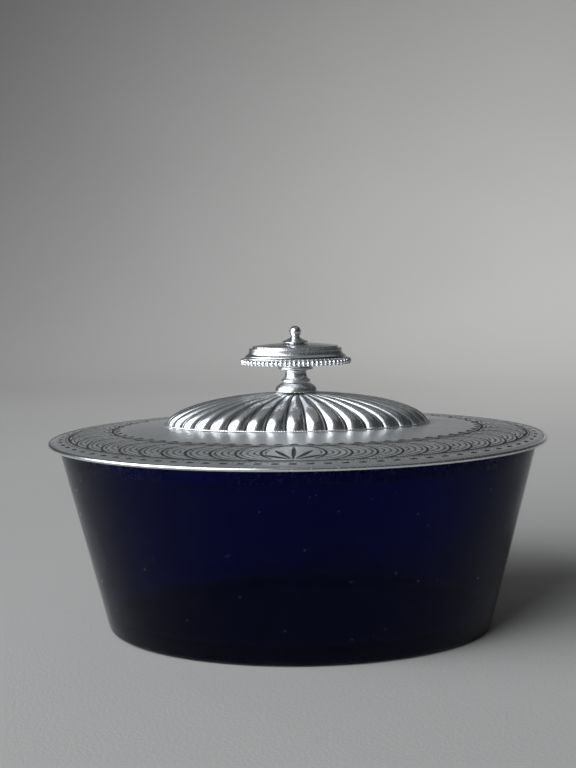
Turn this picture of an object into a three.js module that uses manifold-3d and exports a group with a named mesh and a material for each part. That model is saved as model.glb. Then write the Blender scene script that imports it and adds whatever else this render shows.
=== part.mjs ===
// An oval sugar bowl of cobalt blue glass with a silver-plated, engraved lid that lifts off.
// Millimetres, +Z up. The origin is the middle of the foot of the glass, on the table.
// The long axis of the oval runs along X, the short one along Y.
import * as THREE from "three";
import { mergeVertices } from "three/addons/utils/BufferGeometryUtils.js";
import Module from "manifold-3d";

const wasm = await Module();
wasm.setup();

// ---- driving dimensions ----
const GAP = 0.3; // air left between pieces that touch or are soldered together

const GLASS = {
  footHalfLength: 58.3,
  mouthHalfLength: 72.3,
  ratio: 0.688, // width over length of the outer outline
  height: 57.6,
  wall: 2.8,
  floor: 4.6,
  footRound: 2.4,
  lipRound: 0.9,
};

const LID = {
  halfLength: 75,
  taper: 22.5, // half length less half width, the same at every ring of the sheet
  footZ: 62, // upper face where the dome stands
  rimFall: 3.6, // how far the upper face falls from the dome to the rim
  fallPower: 1.5,
  thickness: 0.9,
  holeHalfLength: 34,
  rimWireRadius: 0.65,
};

const DOME = {
  halfLength: 39.5,
  halfWidth: 17.1,
  height: 9.6,
  lobes: 36,
  evenness: 0.4, // 0 for lobes at equal angles, 1 for lobes of equal width at the foot
  lobeDepth: 0.07, // groove depth at the foot, as a share of the radius
  thickness: 1.0,
  holeHalfLength: 4.2,
  beadWireRadius: 0.4,
};

const BEZEL = { halfLength: 67.2, lowZ: 52.6, thickness: 0.9 };

const FINIAL = {
  baseZ: 72.0, // underside of the foot, just over the crown of the dome
  plateRatio: 0.56, // width over length of the disc, the cap and their beads
  stemRatio: 0.72, // the same for the foot and the neck
  boreRadius: 1.6,
  socketRadius: 2.4, // the knop's threaded socket, sunk in the cap
  beads: 60,
  beadRadius: 0.8,
  beadHalfLength: 16.1,
  beadZ: 81.1,
};

const STUD = { radius: 1.25, lowZ: 66.0, highZ: 86.4 };
const WASHER = { radius: 3.9, thickness: 0.8 };
const NUT = { acrossFlats: 5.0, height: 2.2 };

const OVAL_SEGMENTS = 72; // round the glass and the lid
const FINIAL_SEGMENTS = 48;
const STEM_SEGMENTS = 32;

// ---- materials ----
const cobaltGlass = new THREE.MeshStandardMaterial({ color: 0x0a0f6e, roughness: 0.05, metalness: 0 });
const silverPlate = new THREE.MeshStandardMaterial({ color: 0x9a9a98, roughness: 0.32, metalness: 1 });
const solderedWire = new THREE.MeshStandardMaterial({ color: 0xa8a8a6, roughness: 0.28, metalness: 1 });
const fixingSteel = new THREE.MeshStandardMaterial({ color: 0x6f6f70, roughness: 0.45, metalness: 1 });

// ---- helpers ----

/** Width rule of an outline whose half width is a fixed share of its half length. */
function shareOf(ratio) {
  return (halfLength) => halfLength * ratio;
}

/** Width rule of an outline that stays the same distance in from the next one, all the way round. */
function lessBy(taper) {
  return (halfLength) => halfLength - taper;
}

/** The angle at a share of a whole turn, for steps of equal angle. */
function evenTurn(share) {
  return share * 2 * Math.PI;
}

/**
 * A profile turned round Z as an oval. Each profile point is [half length, z], and widthOf gives
 * the half width of the ring at that point. relief scales a ring at a share of the turn, for lobes,
 * and turnOf gives the angle at that share.
 */
function ovalLathe(profile, widthOf, segments, relief = () => 1, turnOf = evenTurn) {
  const lathe = new THREE.LatheGeometry(
    profile.map(([halfLength, z]) => new THREE.Vector2(halfLength, z)),
    segments,
  );
  const position = lathe.getAttribute("position");
  for (let i = 0; i < position.count; i += 1) {
    const index = i % profile.length;
    const [halfLength, z] = profile[index];
    const share = (Math.floor(i / profile.length) % segments) / segments;
    const angle = turnOf(share);
    const scale = relief(share, index);
    const x = halfLength * scale * Math.sin(angle);
    const y = -widthOf(halfLength, index) * scale * Math.cos(angle);
    position.setXYZ(i, x, y, z);
  }
  return merged(lathe);
}

/** The same shape with its seams and poles closed and its flat-faced normals worked out. */
function merged(geometry) {
  geometry.deleteAttribute("normal");
  geometry.deleteAttribute("uv");
  const closed = mergeVertices(geometry, 1e-4);
  closed.computeVertexNormals();
  return closed;
}

/** A geometry as a manifold-3d solid. */
function solid(geometry) {
  const closed = merged(geometry.clone());
  const mesh = new wasm.Mesh({
    numProp: 3,
    vertProperties: new Float32Array(closed.getAttribute("position").array),
    triVerts: new Uint32Array(closed.getIndex().array),
  });
  mesh.merge();
  return new wasm.Manifold(mesh);
}

/** A manifold-3d solid as a geometry. */
function geometryOf(manifold) {
  const mesh = manifold.getMesh();
  const geometry = new THREE.BufferGeometry();
  geometry.setAttribute("position", new THREE.BufferAttribute(Float32Array.from(mesh.vertProperties), 3));
  geometry.setIndex(new THREE.BufferAttribute(Uint32Array.from(mesh.triVerts), 1));
  geometry.computeVertexNormals();
  return geometry;
}

/** Points of an arc from one angle to another, in degrees from the outward radius towards up. */
function arc(centreR, centreZ, radius, from, to, steps) {
  return Array.from({ length: steps + 1 }, (_, i) => {
    const angle = THREE.MathUtils.degToRad(from + ((to - from) * i) / steps);
    return [centreR + radius * Math.cos(angle), centreZ + radius * Math.sin(angle)];
  });
}

/** A ring whose section is a regular polygon, going round its section the way a closed lathe needs. */
function wireSection(centreR, centreZ, radius, sides) {
  return arc(centreR, centreZ, radius, 0, 360, sides);
}

function piece(name, geometry, material) {
  const mesh = new THREE.Mesh(geometry, material);
  mesh.name = name;
  return mesh;
}

// ---- the glass bowl ----

function glassBowl() {
  const slope = (GLASS.mouthHalfLength - GLASS.footHalfLength) / GLASS.height;
  const outer = (z) => GLASS.footHalfLength + slope * z;
  const lean = THREE.MathUtils.radToDeg(Math.atan(slope));
  const footRound = GLASS.footRound;
  const foot = arc(outer(footRound) - footRound, footRound, footRound, -90, -lean, 3);
  const inner = (z) => outer(z) - GLASS.wall;
  const lipZ = GLASS.height - GLASS.lipRound;
  const lip = arc(outer(lipZ) - GLASS.lipRound, lipZ, GLASS.lipRound, -lean, 90, 2);
  const lipInner = arc(inner(lipZ) + GLASS.lipRound, lipZ, GLASS.lipRound, 90, 180 - lean, 2);
  const well = 3.2; // radius inside, where wall meets floor
  const wellArc = arc(inner(GLASS.floor + well) - well, GLASS.floor + well, well, -lean, -90, 2);
  const wholeProfile = [[0, 0], ...foot, ...lip, ...lipInner, ...wellArc, [0, GLASS.floor]];
  const insideFrom = 1 + foot.length + lip.length;
  const widthOf = (halfLength, index) => {
    if (index < insideFrom) return halfLength * GLASS.ratio;
    if (halfLength === 0) return 0;
    return (halfLength + GLASS.wall) * GLASS.ratio - GLASS.wall;
  };
  return piece("glass_bowl", ovalLathe(wholeProfile, widthOf, OVAL_SEGMENTS), cobaltGlass);
}

// ---- the lid ----

/** Height of the lid's upper face at a ring of the given half length. */
function lidTopZ(halfLength) {
  const run = LID.halfLength - LID.rimWireRadius - DOME.halfLength;
  const share = Math.max(0, (halfLength - DOME.halfLength) / run);
  return LID.footZ - LID.rimFall * share ** LID.fallPower;
}

function lidPlate() {
  const edge = LID.halfLength - 2 * LID.rimWireRadius - GAP;
  const rings = 6;
  const top = Array.from({ length: rings + 1 }, (_, i) => {
    const halfLength = edge + ((LID.holeHalfLength - edge) * i) / rings;
    return [halfLength, lidTopZ(halfLength)];
  });
  const under = top.map(([halfLength, z]) => [halfLength, z - LID.thickness]).reverse();
  const profile = [...under, ...top, under[0]];
  return piece("lid_plate", ovalLathe(profile, lessBy(LID.taper), OVAL_SEGMENTS), silverPlate);
}

function lidRimWire() {
  const centreR = LID.halfLength - LID.rimWireRadius;
  const centreZ = lidTopZ(centreR) - LID.rimWireRadius + 0.1;
  const profile = wireSection(centreR, centreZ, LID.rimWireRadius, 8);
  return piece("lid_rim_wire", ovalLathe(profile, lessBy(LID.taper), OVAL_SEGMENTS), solderedWire);
}

function lidBezel() {
  const inside = BEZEL.halfLength - BEZEL.thickness;
  const outTop = lidTopZ(BEZEL.halfLength) - LID.thickness - GAP;
  const profile = [
    [inside, BEZEL.lowZ],
    [BEZEL.halfLength, BEZEL.lowZ],
    [BEZEL.halfLength, outTop],
    [inside, outTop],
    [inside, BEZEL.lowZ],
  ];
  return piece("lid_bezel", ovalLathe(profile, lessBy(LID.taper), OVAL_SEGMENTS), silverPlate);
}

/**
 * A rule for the angle at a share of the turn, between steps of equal angle (evenness 0) and steps
 * of equal length along the edge of an oval (evenness 1).
 */
function spacedTurn(halfLength, halfWidth, evenness) {
  const steps = 720;
  const angles = Array.from({ length: steps + 1 }, (_, i) => (2 * Math.PI * i) / steps);
  const walked = [0];
  for (let i = 1; i <= steps; i += 1) {
    const middle = (angles[i] + angles[i - 1]) / 2;
    const speed = Math.hypot(halfLength * Math.cos(middle), halfWidth * Math.sin(middle));
    walked.push(walked[i - 1] + speed);
  }
  const shares = walked.map((way, i) => (evenness * way) / walked[steps] + ((1 - evenness) * i) / steps);
  return (share) => {
    const next = Math.max(1, shares.findIndex((value) => value >= share));
    const part = (share - shares[next - 1]) / (shares[next] - shares[next - 1]);
    return angles[next - 1] + (angles[next] - angles[next - 1]) * part;
  };
}

function lidDome() {
  const segments = DOME.lobes * 3;
  const footZ = LID.footZ + GAP / 2;
  const ratio = DOME.halfWidth / DOME.halfLength;
  const crown = Math.acos(DOME.holeHalfLength / DOME.halfLength);
  const outerRings = 8;
  const outside = Array.from({ length: outerRings + 1 }, (_, i) => {
    const rise = (crown * i) / outerRings;
    return [DOME.halfLength * Math.cos(rise), footZ + DOME.height * Math.sin(rise)];
  });
  const innerRings = 4;
  const innerLength = DOME.halfLength * (1 - DOME.lobeDepth) - DOME.thickness;
  const innerCrown = Math.acos(DOME.holeHalfLength / innerLength);
  const inside = Array.from({ length: innerRings + 1 }, (_, i) => {
    const rise = innerCrown * (1 - i / innerRings);
    return [
      innerLength * Math.cos(rise),
      footZ + (DOME.height - DOME.thickness) * Math.sin(rise),
    ];
  });
  const profile = [...outside, ...inside, outside[0]];
  const widthOf = (halfLength, index) => {
    if (index <= outerRings || index === profile.length - 1) return halfLength * ratio;
    const innerWidth = DOME.halfWidth * (1 - DOME.lobeDepth) - DOME.thickness;
    const held = DOME.holeHalfLength * ratio;
    const along = (halfLength - DOME.holeHalfLength) / (innerLength - DOME.holeHalfLength);
    return held + (innerWidth - held) * along;
  };
  const relief = (share, index) => {
    if (index > outerRings && index !== profile.length - 1) return 1;
    const ring = index === profile.length - 1 ? 0 : index;
    const fade = 1 - (ring / outerRings) ** 2;
    const across = Math.abs(Math.sin(Math.PI * share * DOME.lobes)); // 0 on a lobe's crest
    return 1 - DOME.lobeDepth * fade * across ** 2;
  };
  const turnOf = spacedTurn(DOME.halfLength, DOME.halfWidth, DOME.evenness);
  return piece("lid_dome", ovalLathe(profile, widthOf, segments, relief, turnOf), silverPlate);
}

function domeBeadWire() {
  const centreR = DOME.halfLength + DOME.beadWireRadius + GAP;
  const centreZ = LID.footZ + DOME.beadWireRadius + GAP / 2;
  const profile = wireSection(centreR, centreZ, DOME.beadWireRadius, 6);
  const taper = DOME.halfLength - DOME.halfWidth;
  return piece("dome_bead_wire", ovalLathe(profile, lessBy(taper), OVAL_SEGMENTS), solderedWire);
}

// ---- the finial, stacked on its stud ----

/** A turned oval piece with the stud's round bore through it. */
function boredPiece(name, outline, ratio, segments, bore = FINIAL.boreRadius) {
  const lowZ = outline[0][1];
  const highZ = outline[outline.length - 1][1];
  const body = ovalLathe([[0, lowZ], ...outline, [0, highZ]], shareOf(ratio), segments);
  const drill = new THREE.CylinderGeometry(bore, bore, highZ - lowZ + 2, 16);
  drill.rotateX(Math.PI / 2);
  drill.translate(0, 0, (lowZ + highZ) / 2);
  return piece(name, geometryOf(solid(body).subtract(solid(drill))), silverPlate);
}

function finialFoot() {
  const z = FINIAL.baseZ;
  const outline = [
    [6.0, z], [6.3, z + 0.35], [6.25, z + 0.8], [5.9, z + 1.3], [5.2, z + 1.9], [4.4, z + 2.5],
  ];
  return boredPiece("finial_foot", outline, FINIAL.stemRatio, STEM_SEGMENTS);
}

function finialNeck() {
  const z = FINIAL.baseZ + 2.8;
  const outline = [
    [4.3, z], [4.4, z + 0.3], [4.35, z + 0.8], [3.8, z + 1.1], [3.45, z + 1.6], [3.25, z + 2.2],
    [3.15, z + 2.9], [3.3, z + 3.5],
  ];
  return boredPiece("finial_neck", outline, FINIAL.stemRatio, STEM_SEGMENTS);
}

function finialCollar() {
  const z = FINIAL.baseZ + 6.6;
  const outline = [[4.9, z], [5.25, z + 0.25], [5.25, z + 0.65], [4.7, z + 1.0], [4.6, z + 1.6]];
  return boredPiece("finial_collar", outline, FINIAL.stemRatio, STEM_SEGMENTS);
}

function finialDisc() {
  const z = FINIAL.baseZ + 8.5;
  const outline = [[6.0, z], [11.5, z - 0.05], [14.6, z], [14.8, z + 1.3], [15.6, z + 1.5], [15.6, z + 1.9]];
  return boredPiece("finial_disc", outline, FINIAL.plateRatio, FINIAL_SEGMENTS);
}

/** A ring of beads in one piece: round beads that run into each other along their wire. */
function finialBeadRing() {
  const stepsPerBead = 3;
  const segments = FINIAL.beads * stepsPerBead;
  const sides = 6;
  const rings = wireSection(FINIAL.beadHalfLength, FINIAL.beadZ, FINIAL.beadRadius, sides);
  const neckShare = 0.55; // wire radius between two beads, over the bead radius
  const shrink = [1, neckShare, neckShare];
  const ring = new THREE.LatheGeometry(rings.map(([r, z]) => new THREE.Vector2(r, z)), segments);
  const position = ring.getAttribute("position");
  const halfWidth = FINIAL.beadHalfLength * FINIAL.plateRatio;
  for (let i = 0; i < position.count; i += 1) {
    const step = Math.floor(i / rings.length) % segments;
    const angle = (step * 2 * Math.PI) / segments;
    const [r, z] = rings[i % rings.length];
    const size = shrink[step % stepsPerBead];
    const out = (r - FINIAL.beadHalfLength) * size;
    const up = (z - FINIAL.beadZ) * size;
    const normal = new THREE.Vector2(
      Math.sin(angle) * halfWidth,
      -Math.cos(angle) * FINIAL.beadHalfLength,
    ).normalize();
    position.setXYZ(
      i,
      FINIAL.beadHalfLength * Math.sin(angle) + normal.x * out,
      -halfWidth * Math.cos(angle) + normal.y * out,
      FINIAL.beadZ + up,
    );
  }
  return piece("finial_bead_ring", merged(ring), solderedWire);
}

function finialCap() {
  const z = FINIAL.baseZ + 10.7;
  const outline = [
    [15.3, z], [14.6, z + 0.5], [13.9, z + 1.1], [13.7, z + 1.6], [13.7, z + 2.4],
    [12.9, z + 2.8], [12.5, z + 3.0], [9.0, z + 3.5], [4.5, z + 3.8],
  ];
  const bore = FINIAL.socketRadius + GAP;
  return boredPiece("finial_cap", outline, FINIAL.plateRatio, FINIAL_SEGMENTS, bore);
}

function finialKnop() {
  const seatZ = FINIAL.baseZ + 14.8;
  const ballRadius = 1.7;
  const ballZ = seatZ + 3.2;
  const socketZ = seatZ - 3.4;
  const socket = FINIAL.socketRadius;
  const neckRadius = 1.3;
  const neckAngle = -THREE.MathUtils.radToDeg(Math.acos(neckRadius / ballRadius));
  const profile = [
    [0, STUD.highZ + GAP],
    [FINIAL.boreRadius, STUD.highZ + GAP],
    [FINIAL.boreRadius, socketZ],
    [socket, socketZ],
    [socket, seatZ],
    [3.95, seatZ],
    [3.5, seatZ + 0.4],
    [2.2, seatZ + 0.8],
    [1.5, seatZ + 1.2],
    ...arc(0, ballZ, ballRadius, neckAngle, 90, 7),
  ];
  return piece("finial_knop", ovalLathe(profile, shareOf(1), 24), silverPlate);
}

// ---- the fixing inside the dome ----

/** A straight round or six-sided bar on the Z axis. */
function bar(radius, lowZ, highZ, sides) {
  const geometry = new THREE.CylinderGeometry(radius, radius, highZ - lowZ, sides);
  geometry.rotateX(Math.PI / 2);
  geometry.translate(0, 0, (lowZ + highZ) / 2);
  return geometry;
}

function boredBar(name, radius, lowZ, highZ, sides) {
  const drill = bar(FINIAL.boreRadius, lowZ - 1, highZ + 1, 16);
  return piece(name, geometryOf(solid(bar(radius, lowZ, highZ, sides)).subtract(solid(drill))), fixingSteel);
}

function fixing() {
  const ceiling = LID.footZ + GAP / 2 + DOME.height - DOME.thickness;
  const washerTop = ceiling - 0.6;
  const washerLow = washerTop - WASHER.thickness;
  const nutTop = washerLow - GAP;
  const nutRadius = NUT.acrossFlats / Math.sqrt(3);
  return [
    piece("finial_stud", merged(bar(STUD.radius, STUD.lowZ, STUD.highZ, 16)), fixingSteel),
    boredBar("finial_washer", WASHER.radius, washerLow, washerTop, 24),
    boredBar("finial_nut", nutRadius, nutTop - NUT.height, nutTop, 6),
  ];
}

// ---- the whole object ----

const lid = new THREE.Group();
lid.add(lidPlate(), lidRimWire(), lidBezel(), lidDome(), domeBeadWire());
lid.add(finialFoot(), finialNeck(), finialCollar(), finialDisc());
lid.add(finialBeadRing(), finialCap(), finialKnop(), ...fixing());

const sugarBowl = new THREE.Group();
sugarBowl.add(glassBowl(), lid);

export default sugarBowl;
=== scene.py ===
"""An oval sugar bowl of cobalt blue glass with a silver-plated lid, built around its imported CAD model.

Laid out as an add-on: sizes and colours are properties, each piece or group of like pieces has an
operator, and a sidebar panel lists them. Everything is in metres, in the frame of the CAD model.
"""

import math

import bpy
import numpy as np
from bpy.props import FloatProperty, FloatVectorProperty, IntProperty, PointerProperty
from mathutils import Matrix, Vector


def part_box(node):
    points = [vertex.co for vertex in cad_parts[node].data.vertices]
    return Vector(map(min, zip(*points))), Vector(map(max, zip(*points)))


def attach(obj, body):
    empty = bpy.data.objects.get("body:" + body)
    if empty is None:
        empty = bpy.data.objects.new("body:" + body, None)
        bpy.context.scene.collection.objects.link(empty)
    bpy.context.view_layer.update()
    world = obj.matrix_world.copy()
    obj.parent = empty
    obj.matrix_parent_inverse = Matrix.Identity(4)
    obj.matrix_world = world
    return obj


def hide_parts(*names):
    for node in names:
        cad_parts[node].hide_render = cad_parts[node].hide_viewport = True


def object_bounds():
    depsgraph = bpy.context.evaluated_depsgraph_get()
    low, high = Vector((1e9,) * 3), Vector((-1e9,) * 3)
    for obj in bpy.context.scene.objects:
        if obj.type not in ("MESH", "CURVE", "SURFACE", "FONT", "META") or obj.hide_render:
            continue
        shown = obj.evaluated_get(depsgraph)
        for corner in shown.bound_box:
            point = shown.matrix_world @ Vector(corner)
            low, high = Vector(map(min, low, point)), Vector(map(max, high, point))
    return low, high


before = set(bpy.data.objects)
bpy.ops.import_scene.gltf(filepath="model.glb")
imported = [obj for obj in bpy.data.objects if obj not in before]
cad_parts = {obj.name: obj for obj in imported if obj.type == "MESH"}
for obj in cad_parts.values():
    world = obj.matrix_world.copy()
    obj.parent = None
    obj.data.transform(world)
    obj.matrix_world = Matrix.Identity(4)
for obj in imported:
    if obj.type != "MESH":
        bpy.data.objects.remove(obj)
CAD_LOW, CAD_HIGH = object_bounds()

bl_info = {
    "name": "Sugar Bowl",
    "version": (1, 0, 0),
    "blender": (4, 5, 0),
    "location": "View3D > Sidebar > Sugar Bowl",
    "description": "Makes the glass, the engraved lid, its dome and finial, and the stage",
    "category": "Add Mesh",
}

MM = 0.001
TURN = 2 * math.pi


# ---------------------------------------------------------------- sizes and colours


def length(name, description, millimetres):
    """A size property, given in millimetres and kept in metres."""
    return FloatProperty(
        name=name,
        description=description,
        default=millimetres * MM,
        min=0,
        precision=5,
        unit="LENGTH",
    )


def colour(name, description, value):
    """A linear colour property."""
    return FloatVectorProperty(
        name=name, description=description, default=value, subtype="COLOR", min=0, max=1
    )


class GlassSizes(bpy.types.PropertyGroup):
    """Sizes of the glass body that its CAD box doesn't hold."""

    foot_half_length: length("Foot", "Half length of the outline at the foot", 58.3)
    wall: length("Wall", "Thickness of the side", 2.8)
    floor: length("Floor", "Thickness of the bottom", 4.6)
    foot_round: length("Foot round", "Radius between the side and the underside", 2.4)
    lip_round: length("Lip round", "Radius of the fire-polished lip", 0.9)
    well_round: length("Well round", "Radius between the floor and the side, inside", 3.2)
    kick: length("Kick", "How far the middle of the underside is hollowed", 0.35)


class LidSizes(bpy.types.PropertyGroup):
    """Sizes of the lid's sheet, its edge and its engraving."""

    fall: length("Fall", "How far the sheet falls from the dome to the edge", 3.6)
    thickness: length("Thickness", "Thickness of the sheet", 0.9)
    hole_half_length: length("Hole", "Half length of the hole under the dome", 34.0)
    border: length("Border", "Plain border, from the edge to the wedge cuts", 3.6)
    band_outer: length("Band, outer", "Outer side of the scale band, from the edge", 6.2)
    band_inner: length("Band, inner", "Inner side of the scale band, from the edge", 19.4)
    crescent_row: length("Crescents", "Middle of the crescent row, from the edge", 21.2)
    cut_depth: length("Cut depth", "Depth of the deepest cuts", 0.22)
    border_walk: length("Border walk", "Way round the lid along the row of wedges", 392)
    row_walk: length("Row walk", "Way round the lid along the row of crescents", 290)
    leaf_walk: length("Leaf walk", "Way round the lid along the middle of the leaves", 327)
    scales: IntProperty(name="Scales", description="Fish scales round the band", default=46)
    wedges: IntProperty(name="Wedges", description="Wedge cuts round the border", default=80)
    crescents: IntProperty(name="Crescents", description="Crescents in the inner row", default=64)


class DomeSizes(bpy.types.PropertyGroup):
    """Sizes of the gadrooned dome and the milled wire round its foot."""

    lobes: IntProperty(name="Lobes", description="Gadroons round the dome", default=36)
    evenness: FloatProperty(
        name="Evenness",
        description="0 for lobes at equal turns, 1 for lobes of equal width at the foot",
        default=0.4,
        min=0,
        max=1,
    )
    fullness: FloatProperty(
        name="Fullness", description="Height of a lobe over half its width", default=0.62
    )
    thickness: length("Thickness", "Thickness of the raised sheet", 1.0)
    hole_half_length: length("Hole", "Half length of the hole for the stud", 4.2)
    wire_beads: IntProperty(name="Beads", description="Beads in the milled wire", default=250)


class FinialSizes(bpy.types.PropertyGroup):
    """Sizes of the finial that its CAD boxes don't hold."""

    beads: IntProperty(name="Beads", description="Beads round the disc", default=60)
    bead_radius: length("Bead radius", "Radius of a bead", 0.8)
    bead_wire: length("Bead wire", "Radius of the wire that the beads are strung on", 0.28)
    bore: length("Bore", "Radius of the bore for the stud", 1.6)
    thread_pitch: length("Pitch", "Pitch of the stud's thread", 0.5)
    thread_depth: length("Thread depth", "Depth of the stud's thread", 0.22)


class Finishes(bpy.types.PropertyGroup):
    """Colours of the metal and of the glass."""

    silver: colour("Silver", "Rubbed silver plate", (0.87, 0.88, 0.89))
    dull: colour("Dull silver", "Silver plate with a thin film on it", (0.57, 0.58, 0.60))
    tarnish: colour("Tarnish", "Dark film in the cuts and grooves", (0.050, 0.047, 0.044))
    steel: colour("Steel", "Dull steel of the stud, washer and nut", (0.36, 0.35, 0.34))
    steel_film: colour("Steel film", "Film on the steel", (0.22, 0.21, 0.20))
    glass_skin: colour("Glass skin", "Tint of light at the surface of the glass", (0.80, 0.84, 1.0))
    cobalt: colour("Cobalt", "Colour that the glass lets through", (0.25, 0.03, 0.70))
    cobalt_density: FloatProperty(
        name="Density", description="How strongly the glass absorbs, per metre", default=2000
    )
    cobalt_sheen: colour("Cobalt sheen", "Tint of what the glass mirrors", (0.16, 0.18, 0.42))
    dust: colour("Dust", "Dust and small water marks", (0.62, 0.61, 0.60))
    paper: colour("Paper", "Pale sweep under and behind the bowl", (0.46, 0.45, 0.44))
    daylight: colour("Daylight", "Colour of the window and the ceiling", (0.93, 0.97, 1.0))


class StageSizes(bpy.types.PropertyGroup):
    """Where the camera stands, its lens and how it is turned."""

    camera_right: length("Camera right", "Camera, to the right of the bowl's middle", 8.8)
    camera_back: length("Camera back", "Camera, in front of the bowl's middle", 364.9)
    camera_up: length("Camera up", "Camera, above the table", 117.9)
    lens: FloatProperty(name="Lens", description="Focal length in millimetres", default=57.17)
    pitch: FloatProperty(
        name="Pitch", description="Camera tilt downwards", default=0.1193, subtype="ANGLE"
    )
    pan: FloatProperty(
        name="Pan", description="Camera turn to the left", default=0.0308, subtype="ANGLE"
    )
    roll: FloatProperty(
        name="Roll", description="Camera roll", default=-0.0182, subtype="ANGLE"
    )


GROUPS = {
    "sugar_glass": GlassSizes,
    "sugar_lid": LidSizes,
    "sugar_dome": DomeSizes,
    "sugar_finial": FinialSizes,
    "sugar_finish": Finishes,
    "sugar_stage": StageSizes,
}


# ---------------------------------------------------------------- surfaces


def ease(value, low, high):
    """0 below low, 1 above high, and a smooth step between."""
    share = np.clip((value - low) / (high - low), 0, 1)
    return share * share * (3 - 2 * share)


def arc(centre, radius, start, stop, steps):
    """Points of an arc in the plane of half length and height; angles in degrees from outwards to up."""
    angle = np.radians(np.linspace(start, stop, steps))
    return np.stack([centre[0] + radius * np.cos(angle), centre[1] + radius * np.sin(angle)], 1)


def smooth_profile(points, steps):
    """A Catmull-Rom curve through the points, with steps points on each stretch."""
    points = np.asarray(points, float)
    padded = np.vstack([2 * points[0] - points[1], points, 2 * points[-1] - points[-2]])
    share = np.linspace(0, 1, steps, endpoint=False)[:, None]
    stretches = []
    for a, b, c, d in zip(padded, padded[1:], padded[2:], padded[3:]):
        curve = 2 * b + (c - a) * share + (2 * a - 5 * b + 4 * c - d) * share**2
        stretches.append(0.5 * (curve + (3 * b - a - 3 * c + d) * share**3))
    return np.vstack([*stretches, points[-1:]])


def even_turns(count):
    """Equal turns all the way round, from the front."""
    return np.linspace(0, TURN, count, endpoint=False)


def oval_grid(profile, turns):
    """A profile of [half length, half width, height] carried round Z through the turns.

    At turn t each ring's point is half length times sin t along X and minus half width times cos t
    along Y, so turn 0 is the front.
    """
    turn = np.asarray(turns)[:, None]
    profile = np.asarray(profile)
    x = profile[None, :, 0] * np.sin(turn)
    y = -profile[None, :, 1] * np.cos(turn)
    z = np.broadcast_to(profile[None, :, 2], x.shape)
    return np.stack([x, y, z], 2)


def surface_mesh(name, grid, loops=False, uv=None, masks=None, sharp=40):
    """A closed mesh from a grid of points [round, along], which closes on itself round.

    Along, it closes on itself when loops is true; otherwise its first and last columns are single
    points on the axis. uv holds a place for each [round, along] with one more round, for the seam.
    masks are point values on the same grid. Edges sharper than the angle stay crisp.
    """
    around, along = grid.shape[:2]
    index = np.arange(around * along).reshape(around, along)
    step = along if loops else along - 1
    here = np.arange(step)
    following = (here + 1) % along
    rounds = np.arange(around)[:, None]
    corners_round = np.broadcast_to(
        np.stack([rounds, rounds + 1, rounds + 1, rounds], 2), (around, step, 4)
    )
    corners_along = np.broadcast_to(
        np.stack([here, here, following, following], 1)[None], (around, step, 4)
    )
    quads = index[corners_round % around, corners_along].reshape(-1, 4)
    corner_uv = None if uv is None else uv[corners_round, corners_along].reshape(-1, 4, 2)
    points = grid.reshape(-1, 3)
    if not loops:
        quads = np.where(quads % along == 0, 0, quads)
        quads = np.where(quads % along == along - 1, along - 1, quads)
    a, b, c, d = (points[quads[:, i]] for i in range(4))
    volume = np.einsum("ij,ij->i", a, np.cross(b, c) + np.cross(c, d)).sum()
    if volume < 0:
        quads = quads[:, ::-1]
        corner_uv = None if corner_uv is None else corner_uv[:, ::-1]
    repeated = quads == np.roll(quads, -1, axis=1)
    keep = ~repeated
    used, packed = np.unique(quads, return_inverse=True)
    packed = packed.reshape(quads.shape)
    sizes = keep.sum(1)
    mesh = bpy.data.meshes.new(name)
    mesh.vertices.add(len(used))
    mesh.vertices.foreach_set("co", points[used].astype(np.float32).ravel())
    mesh.loops.add(int(sizes.sum()))
    mesh.loops.foreach_set("vertex_index", packed[keep].astype(np.int32))
    mesh.polygons.add(len(quads))
    mesh.polygons.foreach_set("loop_start", (np.cumsum(sizes) - sizes).astype(np.int32))
    mesh.polygons.foreach_set("use_smooth", np.ones(len(quads), bool))
    mesh.update(calc_edges=True)
    if uv is not None:
        layer = mesh.uv_layers.new(name="UVMap")
        layer.data.foreach_set("uv", corner_uv[keep].astype(np.float32).ravel())
    for mask_name, mask in (masks or {}).items():
        layer = mesh.attributes.new(mask_name, "FLOAT", "POINT")
        layer.data.foreach_set("value", mask.reshape(-1)[used].astype(np.float32))
    mesh.validate()
    mesh.set_sharp_from_angle(angle=math.radians(sharp))
    piece = bpy.data.objects.new(name, mesh)
    bpy.context.scene.collection.objects.link(piece)
    return piece


def bored_oval(name, outline, ratio, segments, bore, sharp=40):
    """A turned oval piece with a round bore through it, from its low edge out and up to its high edge.

    The outline's half width is its half length times ratio, and the bore's ring is round.
    """
    outline = np.asarray(outline)
    outside = np.stack([outline[:, 0], outline[:, 0] * ratio, outline[:, 1]], 1)
    low, high = outline[0, 1], outline[-1, 1]
    inside = np.array([[bore, bore, high], [bore, bore, low]])
    grid = oval_grid(np.vstack([outside, inside]), even_turns(segments))
    return surface_mesh(name, grid, loops=True, sharp=sharp)


def oval_walk(half_length, half_width, count):
    """Points at even steps along an oval in plan, from the front, with the outward directions there."""
    turn = np.linspace(0, TURN, 4001)
    line = np.stack([half_length * np.sin(turn), -half_width * np.cos(turn)], 1)
    walked = np.concatenate([[0], np.cumsum(np.linalg.norm(np.diff(line, axis=0), axis=1))])
    even = np.interp(np.linspace(0, walked[-1], count, endpoint=False), walked, turn)
    place = np.stack([half_length * np.sin(even), -half_width * np.cos(even)], 1)
    outward = np.stack([half_width * np.sin(even), -half_length * np.cos(even)], 1)
    return place, outward / np.linalg.norm(outward, axis=1, keepdims=True)


def walked_share(half_length, half_width, turn):
    """Share of the way along an oval from the first of a row of turns to the last, at each of them."""
    speed = np.hypot(half_length * np.cos(turn), half_width * np.sin(turn))
    walked = np.concatenate([[0], np.cumsum((speed[1:] + speed[:-1]) / 2)])
    return walked / walked[-1]


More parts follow.
